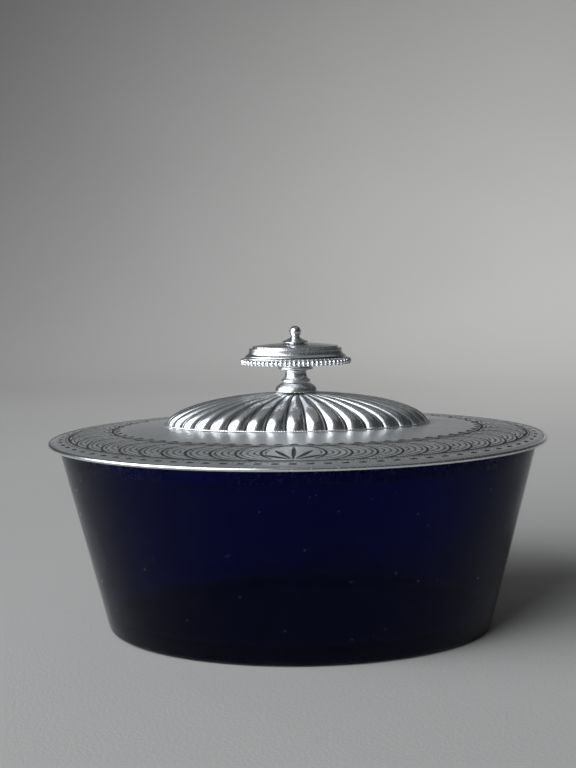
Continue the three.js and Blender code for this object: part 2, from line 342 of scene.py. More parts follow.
def turn_share(half_length, half_width, turn):
    """Share of an oval's edge walked at each turn, 0 at the front and a half at the back, signed."""
    fine = np.linspace(0, math.pi, 2001)
    signed = (turn + math.pi) % TURN - math.pi
    share = np.interp(np.abs(signed), fine, walked_share(half_length, half_width, fine))
    return np.sign(signed) * share / 2


def milled_wire(name, half_length, half_width, height, radius, beads, waist, steps, sides):
    """A wire round an oval whose radius swells at each bead and narrows to waist of it between."""
    count = beads * steps
    place, outward = oval_walk(half_length, half_width, count)
    swell = waist + (1 - waist) * np.sqrt(np.abs(np.cos(math.pi * np.arange(count) / steps)))
    angle = np.linspace(0, TURN, sides, endpoint=False)
    out = radius * swell[:, None] * np.cos(angle)
    up = radius * swell[:, None] * np.sin(angle)
    plan = place[:, None, :] + outward[:, None, :] * out[:, :, None]
    grid = np.concatenate([plan, (height + up)[:, :, None]], 2)
    return surface_mesh(name, grid, loops=True, sharp=75)


def finish_piece(piece, node, body, slot, finish=None):
    """Gives a piece its body and hides the CAD node that it stands for.

    Its material is the slot's own, or that of another finish.
    """
    piece.data.materials.append(material_for(finish or slot))
    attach(piece, body)
    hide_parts(node)
    return piece


# ---------------------------------------------------------------- node building


class Wire:
    """A value in a node tree. Arithmetic on it adds Math nodes."""

    def __init__(self, tree, socket):
        self.tree, self.socket = tree, socket

    def math(self, operation, *others, clamp=False):
        """One Math node with this value first."""
        node = self.tree.nodes.new("ShaderNodeMath")
        node.operation, node.use_clamp = operation, clamp
        for entry, value in zip(node.inputs, (self, *others)):
            feed(self.tree, entry, value)
        return Wire(self.tree, node.outputs[0])

    def __add__(self, other):
        return self.math("ADD", other)

    def __sub__(self, other):
        return self.math("SUBTRACT", other)

    def __mul__(self, other):
        return self.math("MULTIPLY", other)

    def most(self, other):
        """The larger of two values."""
        return self.math("MAXIMUM", other)

    def fraction(self):
        """What is left over whole numbers, never negative."""
        return self.math("FRACT")

    def absolute(self):
        """The value without its sign."""
        return self.math("ABSOLUTE")

    def ramp(self, low, high):
        """0 at low, 1 at high, with a smooth step between; low may be the larger."""
        node = self.tree.nodes.new("ShaderNodeMapRange")
        node.interpolation_type = "SMOOTHSTEP"
        feed(self.tree, node.inputs["Value"], self)
        flipped = low > high
        ends = (high, low) if flipped else (low, high)
        node.inputs["From Min"].default_value, node.inputs["From Max"].default_value = ends
        node.inputs["To Min"].default_value = 1.0 if flipped else 0.0
        node.inputs["To Max"].default_value = 0.0 if flipped else 1.0
        return Wire(self.tree, node.outputs["Result"])


def feed(tree, entry, value):
    """Links a Wire or a socket to an input, or sets a plain value on it."""
    if isinstance(value, Wire):
        tree.links.new(value.socket, entry)
    elif isinstance(value, bpy.types.NodeSocket):
        tree.links.new(value, entry)
    else:
        entry.default_value = value


def add_node(tree, kind, output=0, settings=None, **inputs):
    """Adds a node, sets or links its inputs by name, and gives the Wire of one output."""
    node = tree.nodes.new(kind)
    for key, value in (settings or {}).items():
        setattr(node, key, value)
    for key, value in inputs.items():
        feed(tree, node.inputs[key.replace("_", " ")], value)
    return Wire(tree, node.outputs[output])


def stretched(tree, place, grain, turn):
    """The place turned, then measured in grains of the given size along each axis."""
    node = tree.nodes.new("ShaderNodeMapping")
    node.vector_type = "TEXTURE"
    feed(tree, node.inputs["Vector"], place)
    node.inputs["Scale"].default_value = [size * MM for size in grain]
    node.inputs["Rotation"].default_value = [math.radians(angle) for angle in turn]
    return Wire(tree, node.outputs[0])


def group(name, inputs, outputs, build):
    """A node group, built once. build gets the tree and a dict of input Wires, and returns outputs."""
    found = bpy.data.node_groups.get(name)
    if found:
        return found
    tree = bpy.data.node_groups.new(name, "ShaderNodeTree")
    for key, (kind, value) in inputs.items():
        socket = tree.interface.new_socket(key, in_out="INPUT", socket_type=kind)
        if value is not None:
            socket.default_value = value
    for key, kind in outputs.items():
        tree.interface.new_socket(key, in_out="OUTPUT", socket_type=kind)
    start = tree.nodes.new("NodeGroupInput")
    end = tree.nodes.new("NodeGroupOutput")
    made = build(tree, {key: Wire(tree, start.outputs[key]) for key in inputs})
    for key, value in made.items():
        feed(tree, end.inputs[key], value)
    return tree


def place_group(tree, node_tree, **inputs):
    """Adds a group to a material and gives a dict of its output Wires."""
    node = tree.nodes.new("ShaderNodeGroup")
    node.node_tree = node_tree
    for key, value in inputs.items():
        feed(tree, node.inputs[key.replace("_", " ")], value)
    return {socket.name: Wire(tree, socket) for socket in node.outputs}


def noise(tree, place, scale, detail=3.0, roughness=0.5):
    """A noise value over the surface."""
    return add_node(
        tree, "ShaderNodeTexNoise", "Fac", Vector=place, Scale=scale, Detail=detail, Roughness=roughness
    )


def mixed(tree, share, first, second):
    """A colour between two colours."""
    node = tree.nodes.new("ShaderNodeMix")
    node.data_type = "RGBA"
    feed(tree, node.inputs["Factor"], share)
    feed(tree, node.inputs[6], first)
    feed(tree, node.inputs[7], second)
    return Wire(tree, node.outputs[2])


def rgba(value):
    """A colour property with full alpha."""
    return (*value, 1.0)


# ---------------------------------------------------------------- shared effects


def film_group():
    """Cloudy film on silver: big soft patches broken by small mottling."""

    def build(tree, given):
        big = noise(tree, given["Place"], 45.0, 4.0, 0.6)
        small = noise(tree, given["Place"], 420.0, 3.0, 0.65)
        cloud = big.ramp(0.38, 0.68) * 0.65 + small.ramp(0.35, 0.75) * 0.35
        return {"Mask": cloud.math("MULTIPLY", given["Amount"], clamp=True), "Mottle": small}

    return group(
        "film on silver",
        {"Place": ("NodeSocketVector", None), "Amount": ("NodeSocketFloat", 1.0)},
        {"Mask": "NodeSocketFloat", "Mottle": "NodeSocketFloat"},
        build,
    )


def scratch_group():
    """Hair scratches from years of rubbing: three sets of long thin noise streaks at odd angles."""

    def build(tree, given):
        first = stretched(tree, given["Place"], (0.3, 14.0, 3.0), (17, 9, 24))
        second = stretched(tree, given["Place"], (0.35, 18.0, 3.0), (-12, 14, 77))
        third = stretched(tree, given["Place"], (0.28, 11.0, 3.0), (8, -15, 131))
        one = noise(tree, first, 1.0, 2.0, 0.7).ramp(0.61, 0.74)
        two = noise(tree, second, 1.0, 2.0, 0.7).ramp(0.62, 0.75)
        three = noise(tree, third, 1.0, 2.0, 0.7).ramp(0.63, 0.76)
        every = one.most(two).most(three)
        return {"Mask": every.math("MULTIPLY", given["Amount"], clamp=True)}

    return group(
        "hair scratches",
        {"Place": ("NodeSocketVector", None), "Amount": ("NodeSocketFloat", 1.0)},
        {"Mask": "NodeSocketFloat"},
        build,
    )


def edge_group():
    """Edges rubbed bright and hollows left dark, from how sharply the surface turns."""

    def build(tree, given):
        turned = add_node(tree, "ShaderNodeNewGeometry", "Pointiness")
        ragged = turned + (noise(tree, given["Place"], 900.0) - 0.5) * 0.03
        return {"Edge": ragged.ramp(0.53, 0.60), "Hollow": ragged.ramp(0.48, 0.42)}

    return group(
        "edges and hollows",
        {"Place": ("NodeSocketVector", None)},
        {"Edge": "NodeSocketFloat", "Hollow": "NodeSocketFloat"},
        build,
    )


def dust_group():
    """Specks of dust: small round cells, of which only a few are kept."""

    def build(tree, given):
        cells = tree.nodes.new("ShaderNodeTexVoronoi")
        feed(tree, cells.inputs["Vector"], given["Place"])
        feed(tree, cells.inputs["Scale"], given["Scale"])
        near = Wire(tree, cells.outputs["Distance"])
        picked = tree.nodes.new("ShaderNodeSeparateColor")
        tree.links.new(cells.outputs["Color"], picked.inputs["Color"])
        kept = Wire(tree, picked.outputs["Red"]).ramp(0.80, 0.83)
        size = Wire(tree, picked.outputs["Green"])
        speck = (near - size * 0.06).ramp(0.07, 0.02) * kept
        return {"Mask": speck.math("MULTIPLY", given["Amount"], clamp=True)}

    return group(
        "dust specks",
        {
            "Place": ("NodeSocketVector", None),
            "Scale": ("NodeSocketFloat", 400.0),
            "Amount": ("NodeSocketFloat", 1.0),
        },
        {"Mask": "NodeSocketFloat"},
        build,
    )


def scale_lines_group():
    """Fine arcs inside each fish scale, cut with a rocking tool, so each line is a row of short nicks.

    Ring is 0 in the middle of a scale and 1 at its edge.
    """

    def build(tree, given):
        wobble = (noise(tree, given["Place"], 700.0, 2.0) - 0.5) * 0.06
        ring = given["Ring"] + wobble
        line = ((ring * given["Lines"]).fraction() - 0.5).absolute()
        inside = ring.ramp(0.10, 0.22) * ring.ramp(1.02, 0.97)
        nicks = noise(tree, given["Place"], 1500.0, 1.0).ramp(0.28, 0.46)
        return {"Cut": line.ramp(0.26, 0.38) * inside * nicks}

    return group(
        "scale lines",
        {
            "Place": ("NodeSocketVector", None),
            "Ring": ("NodeSocketFloat", 0.5),
            "Lines": ("NodeSocketFloat", 5.0),
        },
        {"Cut": "NodeSocketFloat"},
        build,
    )


def wriggle_group():
    """A pair of wriggled lines along the band: zigzags of tiny dashes at a set distance from the edge."""

    def build(tree, given):
        step = ((given["Round"] * given["Count"]).fraction() - 0.5).absolute() * 2.0
        wave = (step - 0.5) * given["Swing"]
        away = (given["Inset"] - given["Middle"]).absolute()
        first = (away - given["Spacing"] + wave).absolute()
        dash = first.ramp(0.34, 0.16)
        return {"Cut": dash}

    return group(
        "wriggled lines",
        {
            "Round": ("NodeSocketFloat", 0.0),
            "Inset": ("NodeSocketFloat", 0.0),
            "Count": ("NodeSocketFloat", 400.0),
            "Middle": ("NodeSocketFloat", 6.0),
            "Spacing": ("NodeSocketFloat", 0.45),
            "Swing": ("NodeSocketFloat", 0.45),
        },
        {"Cut": "NodeSocketFloat"},
        build,
    )


# ---------------------------------------------------------------- materials


def new_material(name):
    """A material with a Principled shader, and its tree, shader and object coordinates."""
    material = bpy.data.materials.new(name)
    material.use_nodes = True
    tree = material.node_tree
    shader = tree.nodes["Principled BSDF"]
    place = tree.nodes.new("ShaderNodeTexCoord").outputs["Object"]
    return material, tree, shader, place


def bump(tree, shader, height, distance, strength=1.0):
    """Feeds a height, measured in steps of distance metres, to the shader's normal."""
    node = tree.nodes.new("ShaderNodeBump")
    feed(tree, node.inputs["Height"], height)
    node.inputs["Distance"].default_value = distance
    node.inputs["Strength"].default_value = strength
    tree.links.new(node.outputs["Normal"], shader.inputs["Normal"])


def silver_material(name, finish, film, rubbed, groove=None):
    """Silver plate: film in clouds, bright rubbed edges, dark hollows, hair scratches and dust."""
    material, tree, shader, place = new_material(name)
    cloud = place_group(tree, film_group(), Place=place, Amount=film)
    edges = place_group(tree, edge_group(), Place=place)
    scratches = place_group(tree, scratch_group(), Place=place, Amount=1.0)
    dust = place_group(tree, dust_group(), Place=place, Scale=330.0, Amount=0.7)
    hollow = edges["Hollow"]
    if groove:
        marked = add_node(
            tree, "ShaderNodeAttribute", "Fac", settings={"attribute_name": groove}
        )
        ragged = marked + (cloud["Mottle"] - 0.5) * 0.5
        hollow = hollow.most(ragged.ramp(0.50, 0.95))
    base = mixed(tree, cloud["Mask"], rgba(finish.silver), rgba(finish.dull))
    bright = mixed(tree, edges["Edge"] * rubbed, base, rgba(finish.silver))
    dark = mixed(tree, hollow * 0.88, bright, rgba(finish.tarnish))
    dusty = mixed(tree, dust["Mask"], dark, rgba(finish.dust))
    tree.links.new(dusty.socket, shader.inputs["Base Color"])
    shader.inputs["Metallic"].default_value = 1.0
    rough = cloud["Mask"] * 0.16 + scratches["Mask"] * 0.10 + 0.23
    rough = rough + hollow * 0.25
    feed(tree, shader.inputs["Roughness"], rough.math("ADD", dust["Mask"] * 0.3, clamp=True))
    dents = noise(tree, place, 160.0, 2.0) * 0.6
    height = dents - scratches["Mask"] * 0.05 + cloud["Mottle"] * 0.03
    bump(tree, shader, height, 0.00012)
    return material


def engraved_material(finish, lid):
    """The lid's sheet: silver plate with the fine part of its engraving.

    The deep cuts are in the mesh, and their mask darkens here. The fine arcs of the scales, the
    wriggled lines and the dots between the wedges follow the sheet's own map.
    """
    material, tree, shader, place = new_material("engraved silver plate")
    cloud = place_group(tree, film_group(), Place=place, Amount=0.55)
    scratches = place_group(tree, scratch_group(), Place=place, Amount=1.0)
    dust = place_group(tree, dust_group(), Place=place, Scale=330.0, Amount=0.7)
    cut = add_node(tree, "ShaderNodeAttribute", "Fac", settings={"attribute_name": "cut"})
    ring = add_node(tree, "ShaderNodeAttribute", "Fac", settings={"attribute_name": "ring"})
    uv = tree.nodes.new("ShaderNodeUVMap")
    parts = tree.nodes.new("ShaderNodeSeparateXYZ")
    tree.links.new(uv.outputs[0], parts.inputs[0])
    around = Wire(tree, parts.outputs["X"])
    inset = Wire(tree, parts.outputs["Y"]) * (LID_WIDTH / MM)
    arcs = place_group(tree, scale_lines_group(), Place=place, Ring=ring, Lines=5.0)["Cut"]
    wriggles = []
    for middle, count in ((lid.band_outer / MM - 0.4, 420.0), (lid.band_inner / MM + 0.4, 330.0)):
        lines = place_group(
            tree, wriggle_group(), Round=around, Inset=inset, Middle=middle, Count=count
        )
        wriggles.append(lines["Cut"])
    row = ((around * float(lid.wedges * 3)).fraction() - 0.5).absolute()
    dots = row.ramp(0.30, 0.16) * (inset - (lid.border / MM + 1.0)).absolute().ramp(0.28, 0.12)
    fine = arcs.most(wriggles[0]).most(wriggles[1]).most(dots * 0.8)
    deep = (cut + (cloud["Mottle"] - 0.5) * 0.2).ramp(0.07, 0.34)
    marks = (fine * 0.92).most(deep)
    base = mixed(tree, cloud["Mask"], rgba(finish.silver), rgba(finish.dull))
    dark = mixed(tree, marks * 0.95, base, rgba(finish.tarnish))
    dusty = mixed(tree, dust["Mask"], dark, rgba(finish.dust))
    tree.links.new(dusty.socket, shader.inputs["Base Color"])
    shader.inputs["Metallic"].default_value = 1.0
    rough = cloud["Mask"] * 0.12 + scratches["Mask"] * 0.10 + 0.42
    feed(tree, shader.inputs["Roughness"], rough.math("ADD", marks * 0.2, clamp=True))
    dents = noise(tree, place, 120.0, 2.0) * 0.8
    height = dents - fine * 0.9 - scratches["Mask"] * 0.05
    bump(tree, shader, height, 0.00012)
    return material


def steel_material(finish):
    """Dull turned steel with fine tool rings and a little grime in its hollows."""
    material, tree, shader, place = new_material("fixing steel")
    edges = place_group(tree, edge_group(), Place=place)
    cloud = place_group(tree, film_group(), Place=place, Amount=0.8)
    tool = add_node(
        tree,
        "ShaderNodeTexWave",
        "Fac",
        settings={"wave_type": "BANDS", "bands_direction": "Z"},
        Vector=place,
        Scale=1800.0,
        Distortion=1.0,
    )
    base = mixed(tree, cloud["Mask"], rgba(finish.steel), rgba(finish.steel_film))
    dark = mixed(tree, edges["Hollow"] * 0.7, base, rgba(finish.tarnish))
    tree.links.new(dark.socket, shader.inputs["Base Color"])
    shader.inputs["Metallic"].default_value = 1.0
    feed(tree, shader.inputs["Roughness"], cloud["Mask"] * 0.2 + 0.34)
    bump(tree, shader, tool * 0.2 + cloud["Mottle"] * 0.3, 0.00005)
    return material


def glass_material(finish):
    """Cobalt glass: its depth of colour comes from the thickness that light goes through.

    The surface has the slow waves of pressed glass, faint rubs and a few specks of dust.
    """
    material, tree, shader, place = new_material("cobalt glass")
    dust = place_group(tree, dust_group(), Place=place, Scale=330.0, Amount=0.55)
    rubs = place_group(tree, scratch_group(), Place=place, Amount=0.5)
    tint = mixed(tree, dust["Mask"], rgba(finish.glass_skin), rgba(finish.dust))
    tree.links.new(tint.socket, shader.inputs["Base Color"])
    shader.inputs["Metallic"].default_value = 0.0
    shader.inputs["Transmission Weight"].default_value = 1.0
    shader.inputs["IOR"].default_value = 1.5
    shader.inputs["Specular Tint"].default_value = rgba(finish.cobalt_sheen)
    rough = rubs["Mask"] * 0.05 + dust["Mask"] * 0.6
    feed(tree, shader.inputs["Roughness"], rough + 0.02)
    waves = noise(tree, place, 28.0, 2.0) * 1.0 + noise(tree, place, 110.0, 2.0) * 0.10
    bump(tree, shader, waves - rubs["Mask"] * 0.01 + dust["Mask"] * 0.1, 0.0005)
    volume = tree.nodes.new("ShaderNodeVolumeAbsorption")
    volume.inputs["Color"].default_value = rgba(finish.cobalt)
    volume.inputs["Density"].default_value = finish.cobalt_density
    tree.links.new(volume.outputs[0], tree.nodes["Material Output"].inputs["Volume"])
    return material


def paper_material(finish):
    """Matt pale paper with a faint tooth and very slight clouding."""
    material, tree, shader, place = new_material("pale paper")
    tooth = noise(tree, place, 900.0, 3.0, 0.7)
    cloud = noise(tree, place, 3.0, 2.0)
    dimmer = tuple(0.96 * channel for channel in finish.paper)
    tint = mixed(tree, cloud.ramp(0.35, 0.65), rgba(finish.paper), rgba(dimmer))
    tree.links.new(tint.socket, shader.inputs["Base Color"])
    shader.inputs["Roughness"].default_value = 0.85
    shader.inputs["Specular IOR Level"].default_value = 0.2
    bump(tree, shader, tooth, 0.00008)
    return material


made_materials = {}


def material_for(key):
    """The finish of a slot, made the first time that it is asked for."""
    scene = bpy.context.scene
    finish = scene.sugar_finish
    makers = {
        "cobalt_glass": lambda: glass_material(finish),
        "engraved_plate": lambda: engraved_material(finish, scene.sugar_lid),
        "plain_plate": lambda: silver_material("silver plate", finish, 0.55, 0.9),
        "dome_plate": lambda: silver_material("silver plate, dome", finish, 0.5, 0.9, "groove"),
        "bright_wire": lambda: silver_material("silver wire", finish, 0.35, 1.0),
        "fixing_steel": lambda: steel_material(finish),
    }
    if key not in made_materials:
        made_materials[key] = makers[key]()
    return made_materials[key]


# ---------------------------------------------------------------- places worked out from the frame


def half_size(node):
    """Half length along X, half width along Y, and the lowest and highest Z of a CAD node."""
    low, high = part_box(node)
    return (high.x - low.x) / 2, (high.y - low.y) / 2, low.z, high.z


LID_LENGTH, LID_BREADTH = half_size("lid_rim_wire")[:2]
LID_TAPER = LID_LENGTH - LID_BREADTH
DOME_LENGTH, DOME_BREADTH, DOME_FOOT, DOME_CROWN = half_size("lid_dome")
LID_WIDTH = LID_LENGTH - DOME_LENGTH
WIRE_RADIUS = (half_size("lid_rim_wire")[3] - half_size("lid_rim_wire")[2]) / 2


def sheet_top(half_length, lid):
    """Height of the sheet's upper face: it falls from the dome outwards with the power 1.5."""
    top = half_size("lid_plate")[3]
    run = LID_WIDTH - WIRE_RADIUS
    share = np.clip((half_length - DOME_LENGTH) / run, 0, None)
    return top - lid.fall * share**1.5


# ---------------------------------------------------------------- the glass


class SUGAR_OT_glass(bpy.types.Operator):
    """Make the flared oval body of cobalt glass"""

    bl_idname = "sugar.glass"
    bl_label = "Glass bowl"

    def execute(self, context):
        """Carries the section of the wall round the oval; the inside keeps the wall's thickness."""
        size = context.scene.sugar_glass
        mouth, breadth, low, high = half_size("glass_bowl")
        ratio = breadth / mouth
        slope = (mouth - size.foot_half_length) / (high - low)
        lean = math.degrees(math.atan(slope))

        def outer(z):
            """Half length of the outside at a height."""
            return size.foot_half_length + slope * z

        def inner(z):
            """Half length of the inside at a height."""
            return outer(z) - size.wall

        foot_z, lip_z = size.foot_round, high - size.lip_round
        well_z = size.floor + size.well_round
        foot = arc((outer(foot_z) - foot_z, foot_z), foot_z, -90, -lean, 10)
        lip_out = arc((outer(lip_z) - size.lip_round, lip_z), size.lip_round, -lean, 90, 8)
        lip_in = arc((inner(lip_z) + size.lip_round, lip_z), size.lip_round, 90, 180 - lean, 8)
        well = arc((inner(well_z) - size.well_round, well_z), size.well_round, -lean, -90, 10)
        rise = np.linspace(0, 1, 26)[1:-1, None]
        side = foot[-1] + (lip_out[0] - foot[-1]) * rise
        inside = lip_in[-1] + (well[0] - lip_in[-1]) * rise
        rings = np.linspace(0, 1, 12)[:-1, None]
        under = np.hstack([foot[0, 0] * rings, size.kick * ease(1 - rings, 0.06, 0.3)])
        floor = np.hstack([well[-1, 0] * rings[::-1], np.full_like(rings, size.floor)])
        outside = np.vstack([under, foot, side, lip_out])
        hollow = np.vstack([lip_in, inside, well, floor])
        wide_out = outside[:, :1] * ratio
        wide_in = (hollow[:, :1] + size.wall) * ratio - size.wall
        wide_in *= np.clip(hollow[:, :1] / (size.wall * 4), 0, 1)
        profile = np.vstack(
            [
                np.hstack([outside[:, :1], wide_out, outside[:, 1:]]),
                np.hstack([hollow[:, :1], wide_in, hollow[:, 1:]]),
            ]
        )
        piece = surface_mesh("glass_body", oval_grid(profile, even_turns(288)), sharp=60)
        finish_piece(piece, "glass_bowl", "bowl", "cobalt_glass")
        return {"FINISHED"}


# ---------------------------------------------------------------- the lid


# Half length and half width of a cut, and how deep it is as a share of the deepest.
WEDGE_CUT = (1.35 * MM, 0.75 * MM)
CRESCENT_CUT = (1.6 * MM, 0.65 * MM)
CRESCENT_DEPTH, SCALE_DEPTH, LINE_DEPTH = 0.9, 0.85, 0.8
CRESCENT_BOW = 0.9 * MM / (1.5 * MM) ** 2
LINE_WIDTH = 0.45 * MM
NO_SCALE = 1.3

# Direction of each petal of the leaf, in degrees from straight inwards, and how far off its middle is.
PETALS = ((-64, 4.6), (-34, 5.2), (0, 5.8), (34, 5.2), (64, 4.6))


def scale_rings(around, inset, lid):
    """How far out each point is in the fish scale that lies uppermost there: 0 middle, 1 edge.

    A scale is an oval that leans away from the front and the next scale slips under it. Points on
    no scale get NO_SCALE.
    """
    place = np.abs(around) * lid.scales
    width = (lid.band_inner - lid.band_outer) / 2
    across = (inset - (lid.band_outer + lid.band_inner) / 2) / (width * 1.04)
    whole = np.floor(place)
    ring = np.full(place.shape, NO_SCALE)
    for step in (1, 0, -1):
        middle = whole - step
        along = (place - middle) / 1.32
        distance = np.hypot(along - 0.10 * across, across)
        uppermost = (ring >= 1) & (distance < 1) & (middle >= -0.001)
        ring = np.where(uppermost, distance, ring)
    return ring


def petal(along, across, half_length, half_width):
    """A pointed petal: 1 on its middle line and 0 at its edge, widest at a third of its length."""
    share = along / half_length
    width = half_width * np.clip(1 - share**2, 0, 1) * (1 + 0.35 * share)
    return np.clip(1 - np.abs(across) / np.maximum(width, 1e-9), 0, 1) * (np.abs(share) < 1)


def leaf(around, inset, lid):
    """Five petals that fan out from the band's outer side, at the front and at the back.

    Each petal is laid along its own direction from a point just inside the band.
    """
    nearest = np.minimum(np.abs(around), 0.5 - np.abs(around)) * lid.leaf_walk * np.sign(around)
    root = lid.band_outer + 1.0 * MM
    along, fan = inset - root, np.zeros(np.broadcast(around, inset).shape)
    for degrees, reach in PETALS:
        angle = math.radians(degrees)
        ahead = along * math.cos(angle) + nearest * math.sin(angle) - reach * MM
        beside = nearest * math.cos(angle) - along * math.sin(angle)
        fan = np.maximum(fan, petal(ahead, beside, reach * 0.92 * MM, 0.85 * MM))
    return fan, np.hypot(nearest / (7.4 * MM), (along - 5.4 * MM) / (7.0 * MM)) < 1


def engraving(around, inset, lid):
    """Depth of the deep cuts as a share of the deepest, over the sheet's upper face.

    Wedges follow the border, crescents follow the inner row, each scale has a cut edge, a plain
    line bounds the band on each side, and a leaf stands at the front and the back.
    """
    wedge = ((np.abs(around) * lid.wedges + 0.5) % 1 - 0.5) * lid.border_walk / lid.wedges
    cuts = petal(wedge, inset - lid.border, *WEDGE_CUT)
    moon = ((np.abs(around) * lid.crescents + 0.5) % 1 - 0.5) * lid.row_walk / lid.crescents
    bowed = inset - lid.crescent_row + CRESCENT_BOW * moon**2
    cuts = np.maximum(cuts, CRESCENT_DEPTH * petal(moon, bowed, *CRESCENT_CUT))
    fan, middle = leaf(around, inset, lid)
    ring = np.where(middle, NO_SCALE, scale_rings(around, inset, lid))
    edge = np.clip(1 - np.abs(ring - 0.955) / 0.05, 0, 1)
    cuts = np.maximum(cuts, SCALE_DEPTH * np.maximum(edge, fan))
    for line in (lid.band_outer, lid.band_inner):
        near = np.clip(1 - np.abs(inset - line) / LINE_WIDTH, 0, 1)
        cuts = np.maximum(cuts, LINE_DEPTH * near)
    return cuts, ring


class SUGAR_OT_sheet(bpy.types.Operator):
    """Make the convex engraved sheet of the lid"""

    bl_idname = "sugar.sheet"
    bl_label = "Engraved sheet"

    def execute(self, context):
        """The sheet's section carried round, with the engraving pressed into its upper face."""
        lid = context.scene.sugar_lid
        edge = half_size("lid_plate")[0] + 0.25 * MM
        band = np.arange(edge - lid.border + 1.2 * MM, edge - lid.crescent_row - 1.4 * MM, -0.3 * MM)
        rest = np.linspace(band[-1], lid.hole_half_length, 14)[1:]
        top = np.concatenate([[edge, edge - 0.7 * MM, edge - 1.5 * MM], band, rest])
        under = np.linspace(lid.hole_half_length, edge, 8)
        half_length = np.concatenate([top, under])
        height = sheet_top(half_length, lid)
        height[0] -= 0.25 * MM
        height[len(top) :] -= lid.thickness
        profile = np.stack([half_length, half_length - LID_TAPER, height], 1)
        segments = 1060
        turn = even_turns(segments)
        grid = oval_grid(profile, turn)
        middle = LID_LENGTH - (lid.band_outer + lid.band_inner) / 2
        around = turn_share(middle, middle - LID_TAPER, turn)[:, None]
        inset = LID_LENGTH - half_length[None, :]
        cuts, ring = engraving(around, inset, lid)
        upper = np.arange(len(half_length)) < len(top)
        cuts = cuts * upper
        grid[:, :, 2] -= lid.cut_depth * cuts
        seam = np.concatenate([around, [[0.0]]])
        u = np.broadcast_to(seam, (segments + 1, len(half_length)))
        v = np.broadcast_to(np.where(upper, inset, -inset) / LID_WIDTH, u.shape)
        masks = {"cut": cuts, "ring": np.where(upper, ring, NO_SCALE)}
        piece = surface_mesh(
            "lid_sheet", grid, loops=True, uv=np.stack([u, v], 2), masks=masks, sharp=50
        )
        finish_piece(piece, "lid_plate", "lid", "engraved_plate")
        return {"FINISHED"}


class SUGAR_OT_edges(bpy.types.Operator):
    """Make the rolled edge of the lid and the bezel under it"""

    bl_idname = "sugar.edges"
    bl_label = "Rolled edge and bezel"

    def execute(self, context):
        """A wire of round section and a thin upright strip, both carried round."""
        half_length, _, low, high = half_size("lid_rim_wire")
        centre = (half_length - WIRE_RADIUS, (low + high) / 2)
        section = arc(centre, WIRE_RADIUS, 0, 360, 17)[:-1]
        profile = np.stack([section[:, 0], section[:, 0] - LID_TAPER, section[:, 1]], 1)
        roll = surface_mesh("lid_rolled_edge", oval_grid(profile, even_turns(400)), loops=True)
        finish_piece(roll, "lid_rim_wire", "lid", "bright_wire")
        out, _, foot, top = half_size("lid_bezel")
        thick, nip = 0.9 * MM, 0.25 * MM
        section = np.array(
            [
                [out - thick, foot + nip],
                [out - thick + nip, foot],
                [out - nip, foot],
                [out, foot + nip],
                [out, top],
                [out - thick, top],
            ]
        )
        profile = np.stack([section[:, 0], section[:, 0] - LID_TAPER, section[:, 1]], 1)
        strip = surface_mesh("lid_locating_bezel", oval_grid(profile, even_turns(288)), loops=True)
        finish_piece(strip, "lid_bezel", "lid", "plain_plate")
        return {"FINISHED"}


def lobe_turns(size, segments):
    """Turns that cut the dome's foot into steps between equal turns and equal widths."""
    fine = np.linspace(0, TURN, 4001)
    walked = walked_share(DOME_LENGTH, DOME_BREADTH, fine)
    share = size.evenness * walked + (1 - size.evenness) * fine / TURN
    return np.interp(np.linspace(0, 1, segments, endpoint=False), share, fine)


